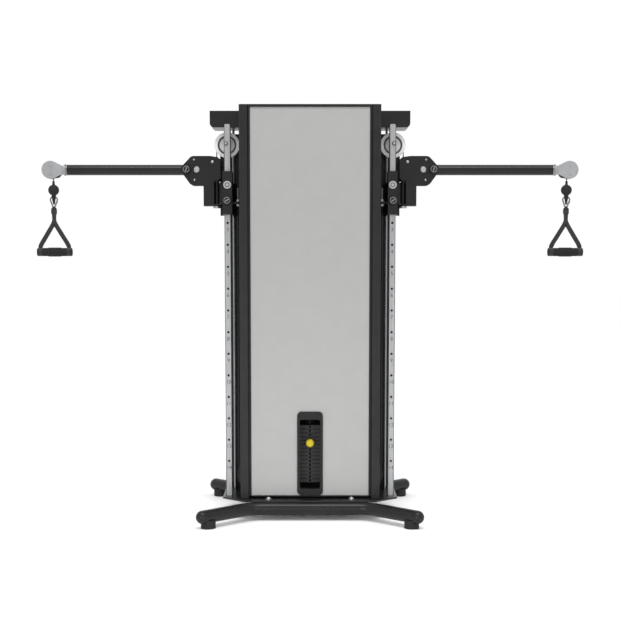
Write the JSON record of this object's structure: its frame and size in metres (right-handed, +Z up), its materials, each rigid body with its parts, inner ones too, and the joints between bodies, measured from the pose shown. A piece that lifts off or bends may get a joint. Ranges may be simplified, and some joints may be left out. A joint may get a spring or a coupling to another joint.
{
  "type": "functional_trainer",
  "caption": "Cable machine with a panelled weight tower on splayed feet, two arms on numbered rails that slide, swing and tilt, and a strap handle on each cable.",
  "frame": {"origin": "centre of the footprint on the floor", "axes": "+X to the right arm seen from the front, +Y to the rear, +Z up"},
  "size_m": [2.532, 0.8358, 1.879],
  "materials": {
    "black_paint": "semi-gloss powder coat",
    "grey_paint": "satin powder coat",
    "pale_paint": "satin paint",
    "silver_paint": "metallic paint",
    "bare_rail": "satin anodised",
    "chrome": "polished",
    "steel": "zinc plated",
    "cast_plate": "painted black",
    "rubber": "matt",
    "grip_rubber": "matt foam rubber",
    "black_plastic": "fine texture",
    "yellow_plastic": "moulded",
    "black_nylon": "moulded nylon",
    "pale_nylon": "moulded nylon",
    "cable": "nylon coated steel cable",
    "webbing": "woven nylon webbing"
  },
  "bodies": {
    "frame": {"base_feet": "black_paint", "rubber_feet": "rubber", "base_deck": "black_paint", "tower_columns": "grey_paint", "crossbeam": "black_paint", "front_panel": "pale_paint", "rear_cover": "black_paint", "window_bezel": "black_plastic", "front_rails": "bare_rail", "guide_rods": "chrome", "stack_cushions": "rubber", "resting_plates": "cast_plate", "pulley_mounts": "black_paint", "fixed_cables": "cable"},
    "weight_stack": {"lifted_plates": "cast_plate", "lift_stem": "steel", "stack_cables": "cable"},
    "selector": {"selector_pin": "yellow_plastic"},
    "left_slider": {"left_carriage": "black_paint", "left_carriage_bolts": "steel", "left_riser_cable": "cable", "left_anchor_cable": "cable"},
    "left_height_lock": {"left_height_pin": "black_plastic"},
    "left_head": {"left_arm_head": "black_paint", "left_head_bolts": "steel"},
    "left_pitch_lock": {"left_pitch_pin": "black_plastic"},
    "left_arm": {"left_arm_tube": "black_paint"},
    "left_tip": {"left_tip_housing": "silver_paint"},
    "left_handle": {"left_handle_hook": "steel", "left_handle_strap": "webbing", "left_handle_grip": "grip_rubber", "left_handle_cable": "cable"},
    "left_top_wheel": {"left_top_pulley": "pale_nylon"},
    "left_inner_wheel": {"left_inner_pulley": "black_nylon"},
    "left_return_wheel": {"left_return_pulley": "black_nylon"},
    "left_base_wheel": {"left_base_pulley": "black_nylon"},
    "left_lift_wheel": {"left_lift_pulley": "black_nylon"},
    "left_head_wheel": {"left_head_pulley": "black_nylon"},
    "left_tip_wheel": {"left_tip_pulley": "black_nylon"},
    "right_slider": {"right_carriage": "black_paint", "right_carriage_bolts": "steel", "right_riser_cable": "cable", "right_anchor_cable": "cable"},
    "right_height_lock": {"right_height_pin": "black_plastic"},
    "right_head": {"right_arm_head": "black_paint", "right_head_bolts": "steel"},
    "right_pitch_lock": {"right_pitch_pin": "black_plastic"},
    "right_arm": {"right_arm_tube": "black_paint"},
    "right_tip": {"right_tip_housing": "silver_paint"},
    "right_handle": {"right_handle_hook": "steel", "right_handle_strap": "webbing", "right_handle_grip": "grip_rubber", "right_handle_cable": "cable"},
    "right_top_wheel": {"right_top_pulley": "pale_nylon"},
    "right_inner_wheel": {"right_inner_pulley": "black_nylon"},
    "right_return_wheel": {"right_return_pulley": "black_nylon"},
    "right_base_wheel": {"right_base_pulley": "black_nylon"},
    "right_lift_wheel": {"right_lift_pulley": "black_nylon"},
    "right_head_wheel": {"right_head_pulley": "black_nylon"},
    "right_tip_wheel": {"right_tip_pulley": "black_nylon"}
  },
  "joints": [
    {"name": "stack_lift", "type": "slide", "parent": "frame", "child": "weight_stack", "axis": [0, 0, 1], "range_m": [0, 0.55], "deforming": ["stack_cables"]},
    {"name": "selector_pull", "type": "slide", "parent": "weight_stack", "child": "selector", "axis": [0, 1, 0], "range_m": [-0.12, 0]},
    {"name": "left_carriage_slide", "type": "slide", "parent": "frame", "child": "left_slider", "axis": [0, 0, 1], "range_m": [-1.2, 0], "deforming": ["left_riser_cable", "left_anchor_cable"]},
    {"name": "left_height_pull", "type": "slide", "parent": "left_slider", "child": "left_height_lock", "axis": [0, 1, 0], "range_m": [-0.014, 0], "stiffness_N_per_m": 500},
    {"name": "left_arm_yaw", "type": "hinge", "parent": "left_slider", "child": "left_head", "pos_m": [-0.43, 0, 1.493], "axis": [0, 0, 1], "range_deg": [-30, 75]},
    {"name": "left_pitch_pull", "type": "slide", "parent": "left_head", "child": "left_pitch_lock", "axis": [0, 1, 0], "range_m": [-0.014, 0], "stiffness_N_per_m": 500},
    {"name": "left_arm_pitch", "type": "hinge", "parent": "left_head", "child": "left_arm", "pos_m": [-0.52, 0, 1.598], "axis": [0, -1, 0], "range_deg": [-45, 45]},
    {"name": "left_tip_swivel", "type": "hinge", "parent": "left_arm", "child": "left_tip", "pos_m": [-1.112, 0, 1.598], "axis": [1, 0, 0], "range_deg": [-90, 90]},
    {"name": "left_handle_pull", "type": "slide", "parent": "left_tip", "child": "left_handle", "axis": [0, 0, -1], "range_m": [0, 1.1], "deforming": ["left_handle_cable"]},
    {"name": "left_top_turn", "type": "hinge", "parent": "frame", "child": "left_top_wheel", "pos_m": [-0.382, 0, 1.711], "axis": [0, 1, 0], "continuous": true},
    {"name": "left_inner_turn", "type": "hinge", "parent": "frame", "child": "left_inner_wheel", "pos_m": [-0.08, 0, 1.714], "axis": [0, 1, 0], "continuous": true},
    {"name": "left_return_turn", "type": "hinge", "parent": "frame", "child": "left_return_wheel", "pos_m": [-0.17, 0, 1.644], "axis": [0, 1, 0], "continuous": true},
    {"name": "left_base_turn", "type": "hinge", "parent": "frame", "child": "left_base_wheel", "pos_m": [-0.2745, 0, 0.175], "axis": [0, 1, 0], "continuous": true},
    {"name": "left_lift_turn", "type": "hinge", "parent": "weight_stack", "child": "left_lift_wheel", "pos_m": [-0.08, 0, 0.515], "axis": [0, 1, 0], "continuous": true},
    {"name": "left_head_turn", "type": "hinge", "parent": "left_head", "child": "left_head_wheel", "pos_m": [-0.448, 0, 1.6314], "axis": [0, 1, 0], "continuous": true},
    {"name": "left_tip_turn", "type": "hinge", "parent": "left_tip", "child": "left_tip_wheel", "pos_m": [-1.17, 0, 1.582], "axis": [0, 1, 0], "continuous": true},
    {"name": "right_carriage_slide", "type": "slide", "parent": "frame", "child": "right_slider", "axis": [0, 0, 1], "range_m": [-1.2, 0], "deforming": ["right_riser_cable", "right_anchor_cable"]},
    {"name": "right_height_pull", "type": "slide", "parent": "right_slider", "child": "right_height_lock", "axis": [0, 1, 0], "range_m": [-0.014, 0], "stiffness_N_per_m": 500},
    {"name": "right_arm_yaw", "type": "hinge", "parent": "right_slider", "child": "right_head", "pos_m": [0.43, 0, 1.493], "axis": [0, 0, -1], "range_deg": [-30, 75]},
    {"name": "right_pitch_pull", "type": "slide", "parent": "right_head", "child": "right_pitch_lock", "axis": [0, 1, 0], "range_m": [-0.014, 0], "stiffness_N_per_m": 500},
    {"name": "right_arm_pitch", "type": "hinge", "parent": "right_head", "child": "right_arm", "pos_m": [0.52, 0, 1.598], "axis": [0, 1, 0], "range_deg": [-45, 45]},
    {"name": "right_tip_swivel", "type": "hinge", "parent": "right_arm", "child": "right_tip", "pos_m": [1.112, 0, 1.598], "axis": [1, 0, 0], "range_deg": [-90, 90]},
    {"name": "right_handle_pull", "type": "slide", "parent": "right_tip", "child": "right_handle", "axis": [0, 0, -1], "range_m": [0, 1.1], "deforming": ["right_handle_cable"]},
    {"name": "right_top_turn", "type": "hinge", "parent": "frame", "child": "right_top_wheel", "pos_m": [0.382, 0, 1.711], "axis": [0, 1, 0], "continuous": true},
    {"name": "right_inner_turn", "type": "hinge", "parent": "frame", "child": "right_inner_wheel", "pos_m": [0.08, 0, 1.714], "axis": [0, 1, 0], "continuous": true},
    {"name": "right_return_turn", "type": "hinge", "parent": "frame", "child": "right_return_wheel", "pos_m": [0.17, 0, 1.644], "axis": [0, 1, 0], "continuous": true},
    {"name": "right_base_turn", "type": "hinge", "parent": "frame", "child": "right_base_wheel", "pos_m": [0.2745, 0, 0.175], "axis": [0, 1, 0], "continuous": true},
    {"name": "right_lift_turn", "type": "hinge", "parent": "weight_stack", "child": "right_lift_wheel", "pos_m": [0.08, 0, 0.515], "axis": [0, 1, 0], "continuous": true},
    {"name": "right_head_turn", "type": "hinge", "parent": "right_head", "child": "right_head_wheel", "pos_m": [0.448, 0, 1.6314], "axis": [0, 1, 0], "continuous": true},
    {"name": "right_tip_turn", "type": "hinge", "parent": "right_tip", "child": "right_tip_wheel", "pos_m": [1.17, 0, 1.582], "axis": [0, 1, 0], "continuous": true}
  ],
  "couplings": [
    {"joint": "left_handle_pull", "follows": "stack_lift", "ratio": 2},
    {"joint": "left_top_turn", "follows": "stack_lift", "rad_per_m": -41.667},
    {"joint": "left_inner_turn", "follows": "stack_lift", "rad_per_m": -44.444},
    {"joint": "left_lift_turn", "follows": "stack_lift", "rad_per_m": -22.222},
    {"joint": "left_head_turn", "follows": "stack_lift", "rad_per_m": 111.11},
    {"joint": "left_tip_turn", "follows": "stack_lift", "rad_per_m": -125},
    {"joint": "right_handle_pull", "follows": "stack_lift", "ratio": 2},
    {"joint": "right_top_turn", "follows": "stack_lift", "rad_per_m": 41.667},
    {"joint": "right_inner_turn", "follows": "stack_lift", "rad_per_m": 44.444},
    {"joint": "right_lift_turn", "follows": "stack_lift", "rad_per_m": 22.222},
    {"joint": "right_head_turn", "follows": "stack_lift", "rad_per_m": -111.11},
    {"joint": "right_tip_turn", "follows": "stack_lift", "rad_per_m": 125}
  ]
}
